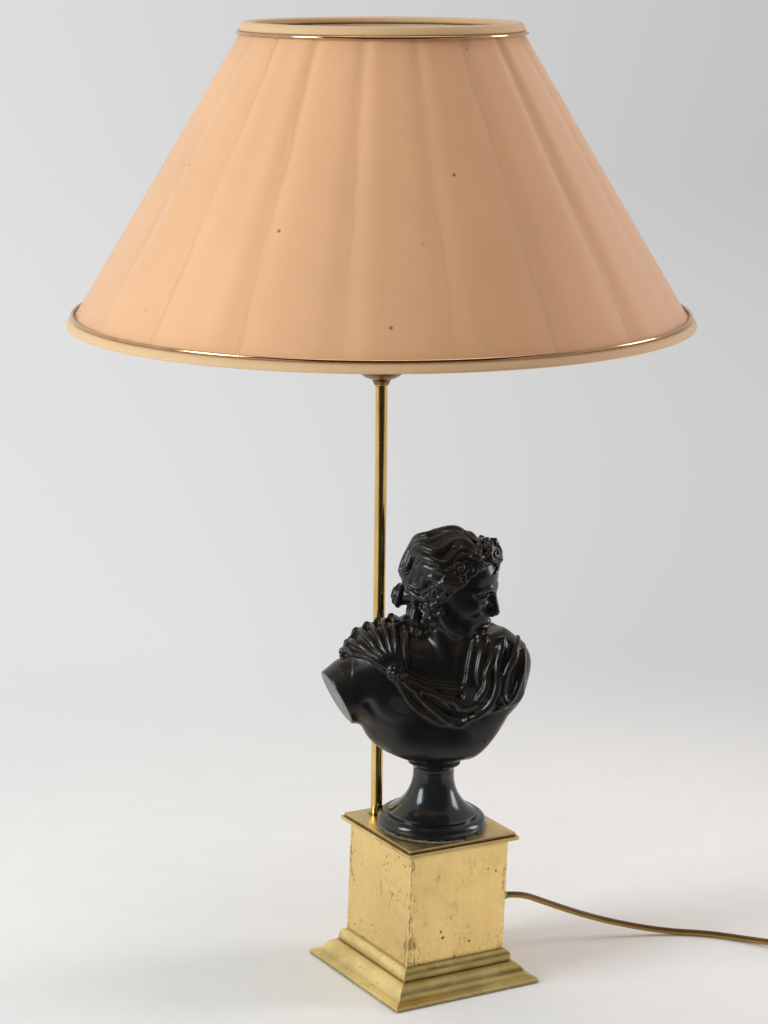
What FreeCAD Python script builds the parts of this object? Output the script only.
import FreeCAD, Part
import math
import os
from FreeCAD import Placement, Rotation, Vector

os.makedirs("parts", exist_ok=True)

UP = Vector(0, 0, 1)
ACROSS = Vector(1, 0, 0)

# Clearances
glue_gap = 0.3  # between curved pieces that lie against each other
running_gap = 0.07  # radial play of a piece that turns on another
drilled_gap = 0.1  # radial play of a rod or tube in its hole
floor_gap = 0.05  # a lying cord above the floor

# Plinth: a hollow box of four brass panels with mitred corners
box_width = 84.5
panel_thickness = 1.5
plinth_rise = 106.7  # from the underside of the base moulding to the cap moulding
baize_thickness = 0.8
baize_inset = 1.5

# Base moulding, from the box face outward and down
ovolo_run = 4.5
ovolo_height = 5.5
fascia_height = 3.9
ogee_run = 7.1
ogee_height = 5.7
cavetto_run = 4.9
cavetto_height = 4.2
apron_run = 3.2
apron_height = 1.5
slab_lip = 0.55
slab_thickness = 2.8

# Cap moulding and the plate on it
cap_cove_run = 4.6
cap_cove_height = 2.6
cap_lip = 1.15
cap_lip_height = 2.7
cap_plate_thickness = 2.5
cap_plate_inset = 2.0

# Inside the box: a steel floor, an iron block and one tie rod up to the figure
base_plate_thickness = 2.0
base_plate_gap = 0.2
ballast_gap = 7.75  # between the block and the panels
ballast_height = 30.0
rod_diameter = 6.0
rod_grip = 22.0  # how far the rod screws up into the figure
rod_tail = 0.4
nut_across_flats = 10.0
nut_height = 4.6
washer_diameter = 16.0
washer_thickness = 1.2

# Turned socle; its axis stands a little in front of the plinth's middle
socle_stem_gap = 0.42  # between its foot and the stem
socle_stem_heading = 124.36  # from its axis to the stem, round from the right side
socle_seat_radius = 36.5
socle_foot_radius = 40.0
socle_foot_height = 9.9
socle_bead_radius = 33.6
socle_bead_height = 1.7
socle_bead_step = 1.2
socle_sweep_height = 31.1
socle_neck_radius = 15.3
socle_flare_height = 6.0
socle_ring_radius = 19.4
socle_ring_height = 1.2
socle_ring_step = 0.7
socle_collar_radius = 21.7
socle_collar_height = 4.8
socle_collar_edge = 1.5

# Figure: a draped classical bust, turned towards the plinth's left front corner
figure_turn = -32.0
figure_wall = 6.0
foot_half_width = 20.5
foot_half_depth = 19.0
chest_rise = 86.0
chest_half_width = 58.0
chest_half_depth = 27.0
chest_forward = 9.5
chest_sway = 4.5
chest_widest = 0.6  # share of its rise
chest_sections = 8
neck_root_half_width = 26.0
neck_root_half_depth = 17.0
shoulder_rise = 45.0
shoulder_out = 54.0
shoulder_ahead = 4.5
shoulder_radii = Vector(26, 24, 32)
arm_cut_reach = 16.5  # from the shoulder's middle to the flat cut of the arm
arm_cut_forward = 20.0  # the cut faces this far forward of straight out, and this far down
arm_cut_drop = 28.0
drape_out = 42.0
drape_rise = 50.0
drape_radii = Vector(20, 25, 36)
mantle_out = 36.0  # the gathered cloth on the bare shoulder
mantle_rise = 66.0
mantle_ahead = 0.5
mantle_radii = Vector(27, 21, 15)
neck_radius = 15.5
neck_spread = 5.0
neck_out = 4.0
neck_forward = 3.5
neck_sink = 12.0  # into the chest and into the head
head_rise = 137.0
head_out = 7.0
head_forward = 5.0
head_turn = -15.0  # from the figure's left shoulder direction
skull_radii = Vector(31, 25, 31)
jaw_radii = Vector(19, 17, 24)
jaw_ahead = 12.0
jaw_drop = 12.0
hair_radii = Vector(30, 27, 28)
hair_back = 5.0
hair_rise = 4.0
forelock_radii = Vector(13, 17, 13)
forelock_ahead = 25.0
forelock_rise = 19.0
nape_radii = Vector(18, 19, 13)
nape_back = 19.0
nape_drop = 15.0
bun_radius = 8.5
bun_back = 37.0
bun_drop = 20.0

# Stem: a brass tube behind the figure's shoulder, leaning a little
stem_left_inset = 16.45  # from the box's left face
stem_back_inset = 8.45  # from the box's back face
stem_diameter = 8.8
stem_thread_diameter = 8.0
stem_bore = 5.8
stem_tail = 14.0
stem_straight_rise = 11.0
stem_bend_height = 284.7  # above the cap plate, where the tube turns to the head's axis
stem_height = 329.2  # above the cap plate, to the top of the small cup
stem_top_offset = 8.7
stem_thread_top = 8.0
stem_nut_across_flats = 12.0
stem_nut_height = 4.0
cup_radius = 6.65
cup_height = 4.4
cup_lip = 1.0
cup_foot_width = 0.8
lean_heading = 148.0
head_tilt = 2.1

# Lampholder, along the head's axis from the cup's top
holder_foot_radius = 7.5
holder_cap_height = 24.0
holder_dome_height = 14.0
holder_wall = 1.2
skirt_radius = 19.5
skirt_wall = 2.0
skirt_start = 16.0
skirt_height = 42.0
insert_radius = 16.5
insert_start = 15.0
insert_height = 11.0
sleeve_height = 24.0
sleeve_wall = 0.5
contact_radius = 4.0
contact_height = 1.0

# Lamp bulb with its screw cap
bulb_cap_radius = 13.1
bulb_cap_height = 23.0
bulb_cap_wall = 0.5
bulb_button_radius = 4.8
bulb_button_height = 2.0
bulb_radius = 17.5
bulb_neck_radius = 12.2
bulb_glass_height = 79.0
bulb_belly_height = 34.0
bulb_tip_radius = 3.0
bulb_neck_bulge = 1.5
bulb_crown_bulge = 4.0

# Shade rings on the skirt
shade_ring_radius = 28.0
shade_ring_hub_radius = 22.0
shade_ring_flange = 1.3
lower_ring_height = 6.0
clamp_ring_height = 5.0

# Shade: fluted silk on a wire frame; sizes to the outside of its trim
shade_bottom = 41.7  # along the head's axis from the cup's top
shade_height = 211.0
shade_bottom_radius = 225.0
shade_top_radius = 97.6
shade_flutes = 19
flute_depth = 2.0
cover_thickness = 1.0
lining_thickness = 0.8
binding_height = 6.0
binding_thickness = 1.8
piping_radius = 1.1
wire_radius = 1.5
wire_seat = 1.5  # between a wire ring and the cover's edge
strut_count = 6
spider_arms = 3
spider_wire_radius = 1.75
gallery_inner_radius = 20.6
gallery_clearance = 2.2  # between the shade rings' flanges and the spider's arms
gallery_thickness = 2.0

# Mains cord, its bush in the right panel, its switch and its plug
cord_diameter = 4.8
cord_exit_height = 46.0
bush_radius = 6.0
bush_flange_radius = 8.0
bush_flange_thickness = 2.5
bush_inside = 9.0
bush_nut_thickness = 3.0
relief_length = 27.5
relief_root_radius = 5.4
relief_tip_radius = 3.2
flex_diameter = 4.4
coil_outer_radius = 38.1
coil_pitch = 5.3
coil_turns_in = 4.0
coil_turns_out = 3.75
coil_layer_gap = 0.45
coil_end_run = 14.0
switch_length = 61.0
switch_width = 25.0
switch_lower_height = 7.0
switch_upper_height = 8.0
switch_edge = 3.0
switch_cord_height = 6.5
rocker_radius = 9.0
rocker_width = 10.0
rocker_throw = 14.0
rocker_pin_radius = 1.2
rocker_pin_length = 1.8
rocker_crown = 2.2
rocker_depth = 2.5  # of its pivot below the switch's top, and of its underside below that
rocker_well = 4.5
plug_length = 36.0
plug_width = 33.0
plug_boot_radius = 4.4
plug_boot_length = 10.0
plug_boot_flare = 1.5
plug_chamfer = 0.4  # share of its half height
pin_radius = 2.0
pin_length = 19.0
pin_spacing = 18.6

# Heights and widths that follow from these
cord_radius = cord_diameter / 2
cord_floor = cord_radius + floor_gap
half_box = box_width / 2
box_top = baize_thickness + plinth_rise
cap_plate_underside = box_top + cap_cove_height + cap_lip_height
cap_top = cap_plate_underside + cap_plate_thickness
base_overhang = ovolo_run + ogee_run + cavetto_run + apron_run + slab_lip
cap_overhang = cap_cove_run + cap_lip
base_plate_underside = baize_thickness + rod_tail + nut_height + washer_thickness
base_plate_top = base_plate_underside + base_plate_thickness
ballast_top = base_plate_top + ballast_height
ballast_width = 2 * (half_box - panel_thickness - ballast_gap)
stem_foot_x = stem_left_inset - half_box
stem_foot_y = half_box - stem_back_inset
socle_top = cap_top + socle_foot_height + socle_bead_height + socle_sweep_height
socle_top += socle_flare_height + socle_ring_height + socle_collar_height
rod_radius = rod_diameter / 2
rod_hole_radius = rod_radius + drilled_gap
stem_radius = stem_diameter / 2
stem_thread_radius = stem_thread_diameter / 2
stem_hole_radius = stem_thread_radius + drilled_gap
shade_slope = (shade_bottom_radius - shade_top_radius) / shade_height
shade_top = shade_bottom + shade_height
slant = math.hypot(1, shade_slope)  # horizontal share of a thickness square to the cone


def save(name, shape):
    shape.exportStep("parts/" + name + ".step")


def joined(pieces):
    return pieces[0].multiFuse(pieces[1:]).removeSplitter()


def outline(points):
    """A flat face inside straight edges through the points."""
    return Part.Face(Part.makePolygon(points + points[:1]))


def arc(start, middle, end):
    return Part.Arc(start, middle, end).toShape()


def line(start, end):
    return Part.LineSegment(start, end).toShape()


def bulge(start, end, height):
    """An arc in the XZ plane that stands off its chord, to the left of start to end."""
    chord = end - start
    side = Vector(-chord.z, 0, chord.x).normalize()
    return arc(start, (start + end) * 0.5 + side * height, end)


def turned(edges):
    """Edges of a half outline in the XZ plane, turned about the Z axis."""
    return Part.Face(Part.Wire(Part.__sortEdges__(edges))).revolve(Vector(0, 0, 0), UP, 360)


def turned_points(points):
    """A turned piece whose half outline has straight edges: pairs of radius and height."""
    return outline([Vector(r, 0, z) for r, z in points]).revolve(Vector(0, 0, 0), UP, 360)


def rod(radius, bottom, top):
    return Part.makeCylinder(radius, top - bottom, Vector(0, 0, bottom))


def ring(outer, inner, bottom, top):
    return rod(outer, bottom, top).cut(rod(inner, bottom - 1, top + 1))


def hexagon(across_flats, bottom, top):
    corner = across_flats / 2 / math.cos(math.radians(30))
    points = [Vector(corner, 0, bottom)]
    for _ in range(5):
        points.append(Rotation(UP, 60).multVec(points[-1]))
    return outline(points).extrude(Vector(0, 0, top - bottom))


def ellipsoid(centre, radii, turn):
    ball = Part.makeSphere(1)
    stretch = FreeCAD.Matrix()
    stretch.scale(radii)
    ball = ball.transformGeometry(stretch)
    return ball.transformed(Placement(centre, Rotation(UP, turn)).toMatrix())


def moved(shape, placement):
    return shape.transformed(placement.toMatrix())


# Frames that pieces are built in
socle_reach = socle_foot_radius + socle_stem_gap + stem_radius
to_stem = Rotation(UP, socle_stem_heading).multVec(ACROSS)
socle_x = stem_foot_x - to_stem.x * socle_reach
socle_y = stem_foot_y - to_stem.y * socle_reach
socle_frame = Placement(Vector(socle_x, socle_y, 0), Rotation())
figure_frame = Placement(Vector(socle_x, socle_y, socle_top), Rotation(UP, figure_turn))
stem_frame = Placement(Vector(stem_foot_x, stem_foot_y, 0), Rotation())
lean = Rotation(UP, lean_heading).multVec(ACROSS)
head_rotation = Rotation(UP.cross(lean), head_tilt)
head_axis = head_rotation.multVec(UP)
stem_foot = Vector(stem_foot_x, stem_foot_y, cap_top)
stem_top = stem_foot + lean * stem_top_offset + UP * stem_height
head_frame = Placement(stem_top, head_rotation)
print("head axis", tuple(round(a, 6) for a in head_axis), "through", tuple(stem_top))


# Tubes that follow a route
def rounded_route(points, name):
    """Straight runs joined by tangent arcs as large as the shorter run allows."""
    edges = []
    radii = []
    start = points[0]
    for before, corner, after in zip(points, points[1:], points[2:]):
        into = (corner - before).normalize()
        out_of = (after - corner).normalize()
        cut_back = 0.45 * min(before.distanceToPoint(corner), corner.distanceToPoint(after))
        half_turn = into.getAngle(out_of) / 2
        bend = cut_back / math.tan(half_turn)
        inward = (out_of - into).normalize()
        arc_start = corner - into * cut_back
        arc_end = corner + out_of * cut_back
        middle = corner + inward * (bend / math.cos(half_turn) - bend)
        edges += [line(start, arc_start), arc(arc_start, middle, arc_end)]
        radii.append(round(bend, 1))
        start = arc_end
    edges.append(line(start, points[-1]))
    if radii:
        print(name, "bend radii", radii)
    return edges


def sweep(edges, radius, name):
    """A solid tube round a path of edges."""
    first = edges[0]
    start = first.valueAt(first.FirstParameter)
    heading = first.tangentAt(first.FirstParameter)
    section = Part.Wire(Part.makeCircle(radius, start, heading))
    tube = Part.Wire(edges).makePipeShell([section], True, False)
    length = sum(edge.Length for edge in edges)
    expected = math.pi * radius**2 * length
    print(name, "length", round(length, 1), "volume over expected", round(tube.Volume / expected, 4))
    return tube


def tube_along(points, radius, name):
    return sweep(rounded_route(points, name), radius, name)


# Plinth
SIDES = ["right", "back", "left", "front"]


def side_wedge():
    """The quarter of space that the right side's pieces may fill."""
    reach = half_box + base_overhang + 10
    points = [Vector(0, 0, -1), Vector(reach, -reach, -1), Vector(reach, reach, -1)]
    return outline(points).extrude(Vector(0, 0, cap_top + 10))


def mitred_sides(section):
    """One length per side, mitred at the corners, from a section in the XZ plane."""
    reach = half_box + base_overhang + 10
    length = section.extrude(Vector(0, 2 * reach, 0))
    length.translate(Vector(0, -reach, 0))
    piece = length.common(side_wedge())
    return [moved(piece, Placement(Vector(), Rotation(UP, 90 * turn))) for turn in range(4)]


def base_moulding_section():
    levels = [baize_thickness, slab_thickness, apron_height, cavetto_height, ogee_height]
    floor, slab, apron, cavetto, ogee = [sum(levels[: i + 1]) for i in range(5)]
    fascia = ogee + fascia_height
    top = fascia + ovolo_height
    rim = half_box + base_overhang
    slab_edge = rim - slab_lip
    apron_edge = slab_edge - apron_run
    cavetto_edge = apron_edge - cavetto_run
    ogee_edge = cavetto_edge - ogee_run
    corners = [
        Vector(half_box, 0, top),
        Vector(half_box, 0, floor),
        Vector(rim, 0, floor),
        Vector(rim, 0, slab - slab_lip),
        Vector(slab_edge, 0, slab),
        Vector(apron_edge, 0, apron),
        Vector(cavetto_edge, 0, cavetto),
        Vector(ogee_edge, 0, ogee),
        Vector(ogee_edge, 0, fascia),
    ]
    edges = [line(a, b) for a, b in zip(corners[:5], corners[1:6])]
    edges.append(bulge(corners[5], corners[6], cavetto_height * 0.2))
    edges.append(bulge(corners[6], corners[7], -ogee_height * 0.2))
    edges.append(line(corners[7], corners[8]))
    edges.append(bulge(corners[8], corners[0], -ovolo_height * 0.2))
    return Part.Face(Part.Wire(Part.__sortEdges__(edges)))


def cap_moulding_section():
    inner = half_box - panel_thickness
    cove_edge = half_box + cap_cove_run
    rim = half_box + cap_overhang
    cove_top = box_top + cap_cove_height
    corners = [
        Vector(half_box, 0, box_top),
        Vector(inner, 0, box_top),
        Vector(inner, 0, cap_plate_underside),
        Vector(rim, 0, cap_plate_underside),
        Vector(rim, 0, cove_top),
        Vector(cove_edge, 0, cove_top),
    ]
    edges = [line(a, b) for a, b in zip(corners, corners[1:])]
    edges.append(bulge(corners[0], corners[5], cap_cove_height * 0.25))
    return Part.Face(Part.Wire(Part.__sortEdges__(edges)))


def panel_section():
    inner = half_box - panel_thickness
    corners = [(inner, base_plate_top), (half_box, base_plate_top), (half_box, box_top), (inner, box_top)]
    return outline([Vector(x, 0, z) for x, z in corners])


def slab(width, bottom, top):
    return Part.makeBox(width, width, top - bottom, Vector(-width / 2, -width / 2, bottom))


def make_plinth():
    for side, piece in zip(SIDES, mitred_sides(base_moulding_section())):
        save("base_moulding_" + side, piece)
    for side, piece in zip(SIDES, mitred_sides(cap_moulding_section())):
        save("cap_moulding_" + side, piece)
    bush_hole = Part.makeCylinder(
        bush_radius + drilled_gap, 2 * panel_thickness, Vector(0, 0, cord_exit_height), ACROSS
    )
    bush_hole.translate(ACROSS * (half_box - 1.5 * panel_thickness))
    for side, piece in zip(SIDES, mitred_sides(panel_section())):
        save("panel_" + side, piece.cut(bush_hole))
    rod_hole = moved(rod(rod_hole_radius, -10, cap_top + 10), socle_frame)
    stem_hole = moved(rod(stem_hole_radius, box_top, cap_top + 10), stem_frame)
    cap_width = box_width + 2 * (cap_overhang - cap_plate_inset)
    cap_plate = slab(cap_width, cap_plate_underside, cap_top)
    save("cap_plate", cap_plate.cut(rod_hole).cut(stem_hole))
    base_plate = slab(box_width - 2 * base_plate_gap, base_plate_underside, base_plate_top)
    save("base_plate", base_plate.cut(rod_hole))
    baize_width = box_width + 2 * (base_overhang - baize_inset)
    save("baize_pad", slab(baize_width, 0, baize_thickness))
    ballast = slab(ballast_width, base_plate_top, ballast_top)
    save("ballast_block", ballast.cut(rod_hole))


def make_tie_rod():
    nut_underside = baize_thickness + rod_tail
    nut_top = nut_underside + nut_height
    rod_body = rod(rod_radius, baize_thickness + rod_tail / 2, socle_top + rod_grip)
    save("tie_rod", moved(rod_body, socle_frame))
    nut = hexagon(nut_across_flats, nut_underside, nut_top)
    save("tie_nut", moved(nut.cut(rod(rod_hole_radius, 0, nut_top + 1)), socle_frame))
    washer = ring(washer_diameter / 2, rod_hole_radius, nut_top, base_plate_underside)
    save("tie_washer", moved(washer, socle_frame))


def make_socle():
    foot_top = cap_top + socle_foot_height
    bead_top = foot_top + socle_bead_height
    neck = bead_top + socle_sweep_height
    flare_top = neck + socle_flare_height
    ring_top = flare_top + socle_ring_height
    seat = Vector(socle_seat_radius, 0, cap_top)
    belly = Vector(socle_foot_radius, 0, cap_top + socle_foot_height * 0.58)
    foot_end = Vector(socle_bead_radius + socle_bead_step, 0, foot_top)
    bead_low = Vector(socle_bead_radius, 0, foot_top)
    bead_high = Vector(socle_bead_radius, 0, bead_top)
    sweep_start = Vector(socle_bead_radius - socle_bead_step, 0, bead_top)
    neck_point = Vector(socle_neck_radius, 0, neck)
    flare_end = Vector(socle_ring_radius - socle_ring_step, 0, flare_top)
    ring_low = Vector(socle_ring_radius, 0, flare_top)
    ring_high = Vector(socle_ring_radius, 0, ring_top)
    collar_low = Vector(socle_ring_radius - socle_ring_step, 0, ring_top)
    collar_rim = Vector(socle_collar_radius, 0, socle_top - socle_collar_edge)
    collar_top = Vector(socle_collar_radius, 0, socle_top)
    bottom = Vector(rod_hole_radius, 0, cap_top)
    top = Vector(rod_hole_radius, 0, socle_top)
    edges = [
        line(bottom, seat),
        arc(seat, belly, foot_end),
        line(foot_end, bead_low),
        line(bead_low, bead_high),
        line(bead_high, sweep_start),
        bulge(sweep_start, neck_point, socle_sweep_height * 0.17),
        bulge(neck_point, flare_end, socle_flare_height * 0.2),
        line(flare_end, ring_low),
        line(ring_low, ring_high),
        line(ring_high, collar_low),
        bulge(collar_low, collar_rim, socle_collar_height * 0.1),
        line(collar_rim, collar_top),
        line(collar_top, top),
        line(top, bottom),
    ]
    save("socle", moved(turned(edges), socle_frame))


# Figure, in a frame with X to its left, Y behind it and Z up from the socle
def chest_half_size(share, foot, widest, neck_root):
    """A half size at a share of the chest's rise, rounding from the foot out and in to the neck."""
    end, span = (foot, chest_widest) if share < chest_widest else (neck_root, 1 - chest_widest)
    away = abs(share - chest_widest) / span
    closing = 1 - (end / widest) ** 2
    return widest * math.sqrt(1 - closing * away**3)


def chest(inset):
    """A smooth body through level ellipses, set in all round by a wall."""
    wires = []
    for section in range(chest_sections + 1):
        share = section / chest_sections
        half_width = chest_half_size(share, foot_half_width, chest_half_width, neck_root_half_width)
        half_depth = chest_half_size(share, foot_half_depth, chest_half_depth, neck_root_half_depth)
        swell = math.sin(math.pi * share)
        height = inset + share * (chest_rise - 2 * inset)
        centre = Vector(-chest_sway * swell, -chest_forward * swell, height)
        ellipse = Part.Ellipse(centre, half_width - inset, half_depth - inset)
        wires.append(Part.Wire(ellipse.toShape()))
    return Part.makeLoft(wires, True, False)


def shoulder_with_cut_arm():
    """The bare shoulder, whose arm ends in one flat slanting cut."""
    centre = Vector(-shoulder_out, -chest_forward - shoulder_ahead, shoulder_rise)
    ball = ellipsoid(centre, shoulder_radii, 0)
    level = Rotation(UP, arm_cut_forward).multVec(ACROSS * -1)
    outward = (level - UP * math.tan(math.radians(arm_cut_drop))).normalize()
    size = 4 * shoulder_radii.z
    block = Part.makeBox(size, size, size, Vector(-size / 2, -size / 2, 0))
    turn = Rotation(UP, outward)
    return ball.cut(moved(block, Placement(centre + outward * arm_cut_reach, turn)))


def neck():
    low = Vector(neck_out, -neck_forward, chest_rise - neck_sink)
    high = Vector(neck_out, -neck_forward, head_rise - neck_sink)
    wires = [
        Part.Wire(Part.makeCircle(neck_radius + neck_spread, low, UP)),
        Part.Wire(Part.makeCircle(neck_radius, (low + high) * 0.5, UP)),
        Part.Wire(Part.makeCircle(neck_radius, high, UP)),
    ]
    return Part.makeLoft(wires, True, False)


def head():
    middle = Vector(head_out, -head_forward, head_rise)
    ahead = Rotation(UP, head_turn).multVec(ACROSS)
    forms = [
        ellipsoid(middle, skull_radii, head_turn),
        ellipsoid(middle + ahead * jaw_ahead - UP * jaw_drop, jaw_radii, head_turn),
        ellipsoid(middle - ahead * hair_back + UP * hair_rise, hair_radii, head_turn),
        ellipsoid(middle + ahead * forelock_ahead + UP * forelock_rise, forelock_radii, head_turn),
        ellipsoid(middle - ahead * nape_back - UP * nape_drop, nape_radii, head_turn),
        Part.makeSphere(bun_radius, middle - ahead * bun_back - UP * bun_drop),
    ]
    return forms


def make_figure():
    drape_centre = Vector(drape_out, -chest_forward, drape_rise)
    mantle_centre = Vector(-mantle_out, -chest_forward - mantle_ahead, mantle_rise)
    forms = [chest(0), shoulder_with_cut_arm(), neck()]
    forms += [ellipsoid(drape_centre, drape_radii, 0), ellipsoid(mantle_centre, mantle_radii, 0)]
    solid = joined(forms + head())
    hollow = chest(figure_wall)
    solid = solid.cut(hollow)
    solid = solid.cut(rod(rod_hole_radius, -1, rod_grip + 1))
    save("bust_figure", moved(solid, figure_frame))


# Stem
def stem_route():
    straight = stem_foot + UP * stem_straight_rise
    bend_rise = stem_height - stem_bend_height
    bend_point = stem_top - head_axis * (bend_rise / head_axis.z)
    return [stem_foot, straight, bend_point, stem_top]


def make_stem():
    route = stem_route()
    tail = moved(rod(stem_thread_radius, cap_top - stem_tail, cap_top), stem_frame)
    thread = moved(rod(stem_thread_radius, 0, stem_thread_top), head_frame)
    body = joined([tube_along(route, stem_radius, "stem"), tail, thread])
    bore_route = [route[0] - UP * (stem_tail + 1), route[1], route[2]]
    bore_route.append(stem_top + head_axis * (stem_thread_top + 1))
    bore = tube_along(bore_route, stem_bore / 2, "stem bore")
    save("stem_tube", body.cut(bore))
    washer = ring(
        stem_nut_across_flats / 2, stem_hole_radius, cap_plate_underside - washer_thickness, cap_plate_underside
    )
    save("stem_washer", moved(washer, stem_frame))
    nut_top = cap_plate_underside - washer_thickness
    nut = hexagon(stem_nut_across_flats, nut_top - stem_nut_height, nut_top)
    save("stem_nut", moved(nut.cut(rod(stem_hole_radius, 0, cap_top)), stem_frame))
    cup = turned_points(
        [
            (stem_radius + drilled_gap, -cup_height),
            (stem_radius + cup_foot_width, -cup_height),
            (cup_radius, -cup_lip),
            (cup_radius, 0),
            (stem_radius + drilled_gap, 0),
        ]
    )
    save("stem_cup", moved(cup, head_frame))


# Lampholder and bulb
sleeve_start = insert_start + insert_height
skirt_top = skirt_start + skirt_height
sleeve_inner_radius = bulb_cap_radius + running_gap
bulb_start = sleeve_start + contact_height + bulb_button_height


def make_holder():
    inner = skirt_radius + drilled_gap
    low = Vector(stem_hole_radius, 0, 0)
    foot = Vector(holder_foot_radius, 0, 0)
    shoulder = Vector(inner + holder_wall, 0, holder_dome_height)
    rim = Vector(inner + holder_wall, 0, holder_cap_height)
    rim_inner = Vector(inner, 0, holder_cap_height)
    inside_shoulder = Vector(inner, 0, holder_dome_height)
    inside_foot = Vector(holder_foot_radius, 0, holder_wall * 1.5)
    low_inner = Vector(stem_hole_radius, 0, holder_wall * 1.5)
    edges = [
        line(low, foot),
        bulge(foot, shoulder, -holder_dome_height * 0.22),
        line(shoulder, rim),
        line(rim, rim_inner),
        line(rim_inner, inside_shoulder),
        bulge(inside_shoulder, inside_foot, holder_dome_height * 0.22),
        line(inside_foot, low_inner),
        line(low_inner, low),
    ]
    save("holder_cap", moved(turned(edges), head_frame))
    skirt = ring(skirt_radius, skirt_radius - skirt_wall, skirt_start, skirt_top)
    save("holder_skirt", moved(skirt, head_frame))
    insert = rod(insert_radius, insert_start, sleeve_start)
    wire_way = rod(flex_diameter / 2 + drilled_gap, insert_start - 1, insert_start + insert_height / 2)
    save("holder_insert", moved(insert.cut(wire_way), head_frame))
    sleeve = ring(sleeve_inner_radius + sleeve_wall, sleeve_inner_radius, sleeve_start, sleeve_start + sleeve_height)
    save("holder_sleeve", moved(sleeve, head_frame))
    save("holder_contact", moved(rod(contact_radius, sleeve_start, sleeve_start + contact_height), head_frame))


def make_bulb():
    cap_end = bulb_start + bulb_cap_height
    shell = ring(bulb_cap_radius, bulb_cap_radius - bulb_cap_wall, bulb_start, cap_end)
    floor = rod(bulb_cap_radius, bulb_start, bulb_start + 2 * bulb_cap_wall)
    save("bulb_cap", moved(joined([shell, floor]), head_frame))
    button = rod(bulb_button_radius, bulb_start - bulb_button_height, bulb_start)
    save("bulb_button", moved(button, head_frame))
    neck_start = cap_end - bulb_cap_height / 3
    widest = Vector(bulb_radius, 0, cap_end + bulb_belly_height)
    neck_low = Vector(bulb_neck_radius, 0, neck_start)
    neck_high = Vector(bulb_neck_radius, 0, cap_end)
    tip_height = cap_end + bulb_glass_height
    tip_side = Vector(bulb_tip_radius, 0, tip_height)
    tip = Vector(0, 0, tip_height)
    foot = Vector(0, 0, neck_start)
    edges = [
        line(foot, neck_low),
        line(neck_low, neck_high),
        bulge(neck_high, widest, -bulb_neck_bulge),
        bulge(widest, tip_side, -bulb_crown_bulge),
        line(tip_side, tip),
        line(tip, foot),
    ]
    save("bulb_glass", moved(turned(edges), head_frame))


# Shade, along the head's axis
def shade_radius(height, inward):
    """The trim's outer radius at a height, less a horizontal distance inward."""
    return shade_bottom_radius - (height - shade_bottom) * shade_slope - inward


def cone_band(bottom, top, inward, thickness):
    return turned_points(
        [
            (shade_radius(bottom, inward), bottom),
            (shade_radius(top, inward), top),
            (shade_radius(top, inward + thickness), top),
            (shade_radius(bottom, inward + thickness), bottom),
        ]
    )


def fluted_outline(height, crest_inward):
    """A closed wire of arcs: each flute bulges between two creases."""
    crest = shade_radius(height, crest_inward)
    crease = crest - flute_depth
    step = 360.0 / shade_flutes
    edges = []
    for flute in range(shade_flutes):
        angles = [flute * step, (flute + 0.5) * step, (flute + 1) * step]
        low, middle, high = [Rotation(UP, angle).multVec(ACROSS) for angle in angles]
        lift = UP * height
        edges.append(arc(low * crease + lift, middle * crest + lift, high * crease + lift))
    return Part.Wire(edges)


def fluted_cone(bottom, top, crest_inward):
    wires = [fluted_outline(bottom, crest_inward), fluted_outline(top, crest_inward)]
    return Part.makeLoft(wires, True, True)


cover_inward = binding_thickness + glue_gap * slant
wire_inward = cover_inward + flute_depth + (cover_thickness + glue_gap + wire_radius) * slant
lining_inward = wire_inward + (wire_radius + glue_gap) * slant
ring_margin = wire_radius + wire_seat
lining_margin = ring_margin + spider_wire_radius + glue_gap
arm_start = shade_ring_radius + gallery_clearance
gallery_height = shade_bottom - gallery_thickness


def wire_circle(height):
    radius = shade_radius(height, wire_inward)
    return Part.makeTorus(radius, wire_radius, Vector(0, 0, height))


def make_strut(angle):
    heading = Rotation(UP, angle).multVec(ACROSS)
    bottom, top = shade_bottom + ring_margin, shade_top - ring_margin
    start = heading * shade_radius(bottom, wire_inward) + UP * bottom
    end = heading * shade_radius(top, wire_inward) + UP * top
    return Part.makeCylinder(wire_radius, start.distanceToPoint(end), start, end - start)


def make_spider():
    """A gallery held between the two shade rings, and arms from it to the bottom ring."""
    gallery = ring(arm_start + spider_wire_radius, gallery_inner_radius, gallery_height, shade_bottom)
    middle = gallery_height + gallery_thickness / 2
    reach = shade_radius(shade_bottom + ring_margin, wire_inward)
    arms = []
    for arm in range(spider_arms):
        heading = Rotation(UP, 60 + arm * 360 / spider_arms).multVec(ACROSS)
        start = heading * arm_start + UP * middle
        end = heading * reach + UP * (shade_bottom + ring_margin)
        arms.append(Part.makeCylinder(spider_wire_radius, start.distanceToPoint(end), start, end - start))
    return joined([gallery] + arms)


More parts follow.
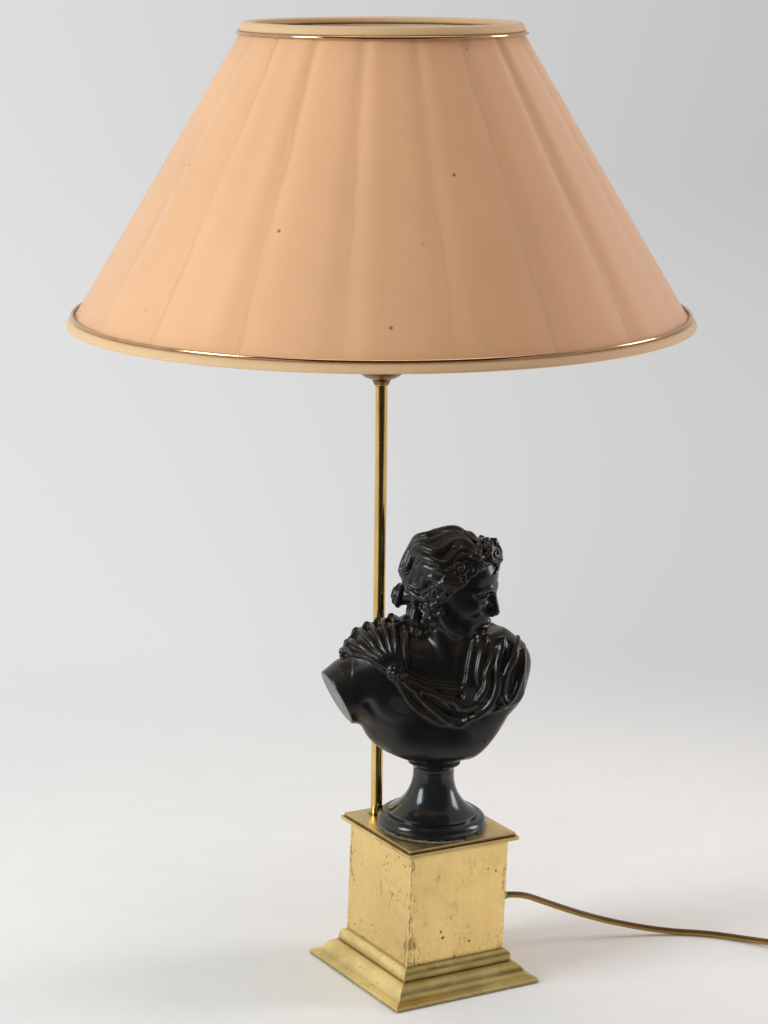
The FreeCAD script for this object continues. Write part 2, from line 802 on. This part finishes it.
def make_shade():
    outer = fluted_cone(shade_bottom, shade_top, cover_inward)
    inner = fluted_cone(shade_bottom - 1, shade_top + 1, cover_inward + cover_thickness * slant)
    save("shade_cover", moved(outer.cut(inner), head_frame))
    lining = cone_band(
        shade_bottom + lining_margin, shade_top - lining_margin, lining_inward, lining_thickness * slant
    )
    save("shade_lining", moved(lining, head_frame))
    save("shade_ring_bottom", moved(wire_circle(shade_bottom + ring_margin), head_frame))
    save("shade_ring_top", moved(wire_circle(shade_top - ring_margin), head_frame))
    struts = [make_strut(30 + 360 * strut / strut_count) for strut in range(strut_count)]
    save("shade_struts", moved(Part.makeCompound(struts), head_frame))
    save("shade_spider", moved(make_spider(), head_frame))
    bottom_band = cone_band(shade_bottom, shade_bottom + binding_height, 0, binding_thickness)
    save("binding_bottom", moved(bottom_band, head_frame))
    top_band = cone_band(shade_top - binding_height, shade_top, 0, binding_thickness)
    save("binding_top", moved(top_band, head_frame))
    piping_inward = binding_thickness - piping_radius * slant
    low = shade_bottom + binding_height + piping_radius + glue_gap
    high = shade_top - binding_height - piping_radius - glue_gap
    for name, height in [("piping_bottom", low), ("piping_top", high)]:
        cord = Part.makeTorus(shade_radius(height, piping_inward), piping_radius, Vector(0, 0, height))
        save(name, moved(cord, head_frame))


def make_shade_rings():
    bore = skirt_radius + running_gap
    low = gallery_height - lower_ring_height
    flange_low = gallery_height - shade_ring_flange
    lower = joined(
        [rod(shade_ring_hub_radius, low, gallery_height), rod(shade_ring_radius, flange_low, gallery_height)]
    )
    save("lower_shade_ring", moved(lower.cut(rod(bore, low - 1, gallery_height + 1)), head_frame))
    high = shade_bottom + clamp_ring_height
    flange_high = shade_bottom + shade_ring_flange
    upper = joined(
        [rod(shade_ring_hub_radius, shade_bottom, high), rod(shade_ring_radius, shade_bottom, flange_high)]
    )
    save("clamp_ring", moved(upper.cut(rod(bore, shade_bottom - 1, high + 1)), head_frame))


# Mains cord
relief_start = half_box + bush_flange_thickness
relief_tip = relief_start + relief_length
cord_exit = Vector(relief_tip, 0, cord_exit_height)
cord_route = [
    cord_exit,
    Vector(86, -1, 45),
    Vector(106, -3.5, 36),
    Vector(130, -7, 25.5),
    Vector(157, -11, 15),
    Vector(186, -20, 7),
    Vector(212, -31, cord_floor),
    Vector(236, -47, cord_floor),
    Vector(255, -69, cord_floor),
    Vector(268.5, -89, 4),
]
switch_entry = Vector(281, -103, switch_cord_height)
switch_heading = Vector(0.727, -0.687, 0).normalize()
coil_centre = Vector(302, -200, cord_floor)
coil_heading = Vector(-0.531, -0.847, 0).normalize()


def make_bush():
    """A screwed bush in the right panel, tapering to a strain relief round the cord."""
    inner_end = half_box - bush_inside
    points = [
        (cord_radius + drilled_gap, inner_end),
        (bush_radius, inner_end),
        (bush_radius, half_box),
        (bush_flange_radius, half_box),
        (bush_flange_radius, relief_start),
        (relief_root_radius, relief_start),
        (relief_tip_radius, relief_tip),
        (cord_radius + drilled_gap, relief_tip),
    ]
    lay = Placement(Vector(0, 0, cord_exit_height), Rotation(Vector(0, 1, 0), 90))
    save("cord_bush", moved(turned_points(points), lay))
    nut = hexagon(2 * bush_flange_radius, half_box - panel_thickness - bush_nut_thickness, half_box - panel_thickness)
    nut = nut.cut(rod(bush_radius + drilled_gap, 0, half_box))
    save("bush_nut", moved(nut, lay))


def make_inner_flex():
    """The flex from the bush through the box and up the stem to the lampholder."""
    route = [
        Vector(relief_tip, 0, cord_exit_height),
        Vector(half_box - 2 * bush_inside, 0, cord_exit_height),
        Vector(12, 10, 53),
        Vector(-12, 25, 61),
        Vector(stem_foot_x, stem_foot_y, 76),
    ]
    upper = stem_route()
    route += [upper[1], upper[2], stem_top + head_axis * (insert_start + insert_height / 2 - 1)]
    save("inner_flex", tube_along(route, flex_diameter / 2, "inner flex"))


def biarc(start, start_heading, end, end_heading):
    """Two arcs that leave start and reach end along the given headings."""
    chord = end - start
    both = start_heading + end_heading
    square = 2 * (1 - start_heading.dot(end_heading))
    linear = 2 * chord.dot(both)
    constant = -chord.dot(chord)
    if abs(square) < 1e-9:
        reach = -constant / linear
    else:
        reach = (-linear + math.sqrt(linear**2 - 4 * square * constant)) / (2 * square)
    join = (start + start_heading * reach + end - end_heading * reach) * 0.5
    return [tangent_arc(start, start_heading, join), tangent_arc(end, end_heading * -1, join)]


def tangent_arc(start, heading, end):
    """The arc from start along heading to end."""
    chord = end - start
    along = chord.normalize() * 1.0
    length = start.distanceToPoint(end)
    half_turn = heading.getAngle(along)
    side = (heading - along * heading.dot(along)).normalize()
    middle = (start + end) * 0.5 + side * (length / 2 * math.tan(half_turn / 2))
    return Part.Arc(start, middle, end).toShape()


def coil_point(turns):
    """A point of the coil's centreline: in along the floor, up half a turn, and out above it."""
    reverse = coil_turns_in + 0.25
    inner_radius = coil_outer_radius - reverse * coil_pitch
    radius = inner_radius + abs(reverse - turns) * coil_pitch
    share = min(max((turns - coil_turns_in) / 0.5, 0), 1)
    layer_rise = cord_diameter + coil_layer_gap
    rise = layer_rise * (1 - math.cos(math.pi * share)) / 2
    away = Rotation(UP, 90 - 360 * turns).multVec(coil_heading)
    return coil_centre + away * radius + UP * rise


def coil_tangent(turns, last):
    step = 1e-4
    before = coil_point(max(turns - step, 0))
    after = coil_point(min(turns + step, last))
    return (after - before).normalize()


def least_self_gap(edges):
    """The least gap between parts of the tube that are over half a turn apart."""
    points = []
    for edge in edges:
        count = max(2, round(edge.Length / 1.5))
        span = edge.LastParameter - edge.FirstParameter
        points += [edge.valueAt(edge.FirstParameter + span * i / count) for i in range(count)]
    apart = round(math.pi * (coil_outer_radius - coil_turns_in * coil_pitch) / 1.6)
    gaps = [a.distanceToPoint(b) for i, a in enumerate(points) for b in points[i + apart :]]
    return min(gaps) - cord_diameter


def coil_edges():
    last = coil_turns_in + 0.5 + coil_turns_out
    count = round(last * 4)
    stations = [last * i / count for i in range(count + 1)]
    knots = [(coil_point(turns), coil_tangent(turns, last)) for turns in stations]
    start, start_heading = knots[0]
    edges = [line(start - start_heading * cord_diameter, start)]
    for (point, heading), (next_point, next_heading) in zip(knots, knots[1:]):
        edges += biarc(point, heading, next_point, next_heading)
    end, end_heading = knots[-1]
    edges.append(line(end, end + end_heading * coil_end_run))
    return edges, end + end_heading * coil_end_run, end_heading


def make_cord():
    lead_route = cord_route + [switch_entry]
    save("cord_lead", tube_along(lead_route, cord_radius, "cord lead"))
    edges, end, end_heading = coil_edges()
    coil_start = edges[0].Vertexes[0].Point
    coil_start = Vector(*coil_start)
    print("coil starts at", tuple(coil_start), "ends at", tuple(end))
    save("cord_coil", sweep(edges, cord_radius, "cord coil"))
    print("least gap of the coil to itself", round(least_self_gap(edges), 3))
    switch_end = switch_entry + switch_heading * switch_length
    link_route = [
        switch_end,
        switch_end + switch_heading * 12 - UP * 1.2,
        Vector(345, -168, 3.4),
        Vector(348.5, -190, cord_floor),
        coil_start - edges[0].tangentAt(edges[0].FirstParameter) * 14,
        coil_start,
    ]
    save("cord_link", tube_along(link_route, cord_radius, "cord link"))
    return end, end_heading


def make_switch():
    """An in-line rocker switch, built along X from its entry and then laid on the cord's line."""
    angle = math.degrees(math.atan2(switch_heading.y, switch_heading.x))
    lay = Placement(Vector(switch_entry.x, switch_entry.y, floor_gap), Rotation(UP, angle))
    corner = Vector(0, -switch_width / 2, 0)
    lower = Part.makeBox(switch_length, switch_width, switch_lower_height, corner)
    upright = [edge for edge in lower.Edges if abs(edge.tangentAt(edge.FirstParameter).z) > 0.9]
    lower = lower.makeFillet(switch_edge * 2, upright)
    save("switch_lower", moved(lower, lay))
    upper = Part.makeBox(switch_length, switch_width, switch_upper_height, corner + UP * switch_lower_height)
    upright = [edge for edge in upper.Edges if abs(edge.tangentAt(edge.FirstParameter).z) > 0.9]
    upper = upper.makeFillet(switch_edge * 2, upright)
    top = switch_lower_height + switch_upper_height
    rim = [edge for edge in upper.Edges if all(abs(v.Point.z - top) < 1e-6 for v in edge.Vertexes)]
    upper = upper.makeFillet(switch_edge, rim)
    middle = switch_length / 2
    pivot_height = top - rocker_depth
    slot_length = 2 * (rocker_radius + glue_gap)
    slot_width = rocker_width + 2 * glue_gap
    slot_corner = Vector(middle - slot_length / 2, -slot_width / 2, pivot_height - rocker_well)
    slot = Part.makeBox(slot_length, slot_width, switch_length, slot_corner)
    hole_length = rocker_width + 2 * (rocker_pin_length + glue_gap)
    pivot = Vector(middle, 0, pivot_height)
    across = Vector(0, 1, 0)
    hole = Part.makeCylinder(
        rocker_pin_radius + running_gap, hole_length, pivot - across * (hole_length / 2), across
    )
    save("switch_upper", moved(upper.cut(slot).cut(hole), lay))
    drum = Part.makeCylinder(rocker_radius, rocker_width, pivot - across * (rocker_width / 2), across)
    block = Part.makeBox(switch_length, switch_length, switch_length, Vector(-middle, -middle, 0))
    body = drum.cut(moved(block, Placement(pivot - UP * (rocker_depth + switch_length), Rotation())))
    half_throw = rocker_throw / 2
    for side in (1, -1):
        tilt = Rotation(across, side * half_throw)
        body = body.cut(moved(block, Placement(pivot + UP * rocker_crown, tilt)))
    pin_length_total = rocker_width + 2 * rocker_pin_length
    pins = Part.makeCylinder(rocker_pin_radius, pin_length_total, pivot - across * (pin_length_total / 2), across)
    rocker = joined([body, pins])
    rocker.rotate(pivot, across, -half_throw)
    save("switch_rocker", moved(rocker, lay))
    hinge = lay.multVec(pivot)
    axis = lay.Rotation.multVec(across)
    print("rocker pivot", tuple(hinge), "axis", tuple(round(a, 6) for a in axis))


def make_plug(start, heading):
    """A flat two-pin plug lying on the floor, built along X from its cord end."""
    angle = math.degrees(math.atan2(heading.y, heading.x))
    lay = Placement(Vector(start.x, start.y, start.z), Rotation(UP, angle))
    half_thickness = start.z - floor_gap
    sections = [
        (0.0, plug_boot_radius, cord_radius + pin_radius / 2),
        (plug_boot_length, plug_boot_radius + plug_boot_flare, plug_boot_radius),
        (plug_length, plug_width / 2, half_thickness),
    ]
    wires = []
    for x, half_width, half_height in sections:
        points = []
        chamfer = half_height * plug_chamfer
        for y_sign, z_sign in [(1, 1), (-1, 1), (-1, -1), (1, -1)]:
            flat = Vector(x, y_sign * (half_width - chamfer), z_sign * half_height)
            side = Vector(x, y_sign * half_width, z_sign * (half_height - chamfer))
            points += [side, flat] if y_sign * z_sign > 0 else [flat, side]
        wires.append(Part.makePolygon(points + points[:1]))
    body = Part.makeLoft(wires, True, True)
    save("plug_body", moved(body, lay))
    pins = [
        Part.makeCylinder(pin_radius, pin_length, Vector(plug_length, side * pin_spacing / 2, 0), ACROSS)
        for side in (1, -1)
    ]
    save("plug_pins", moved(Part.makeCompound(pins), lay))


make_plinth()
make_tie_rod()
make_socle()
make_figure()
make_stem()
make_holder()
make_bulb()
make_shade()
make_shade_rings()
make_bush()
make_inner_flex()
plug_start, plug_heading = make_cord()
make_switch()
make_plug(plug_start, plug_heading)
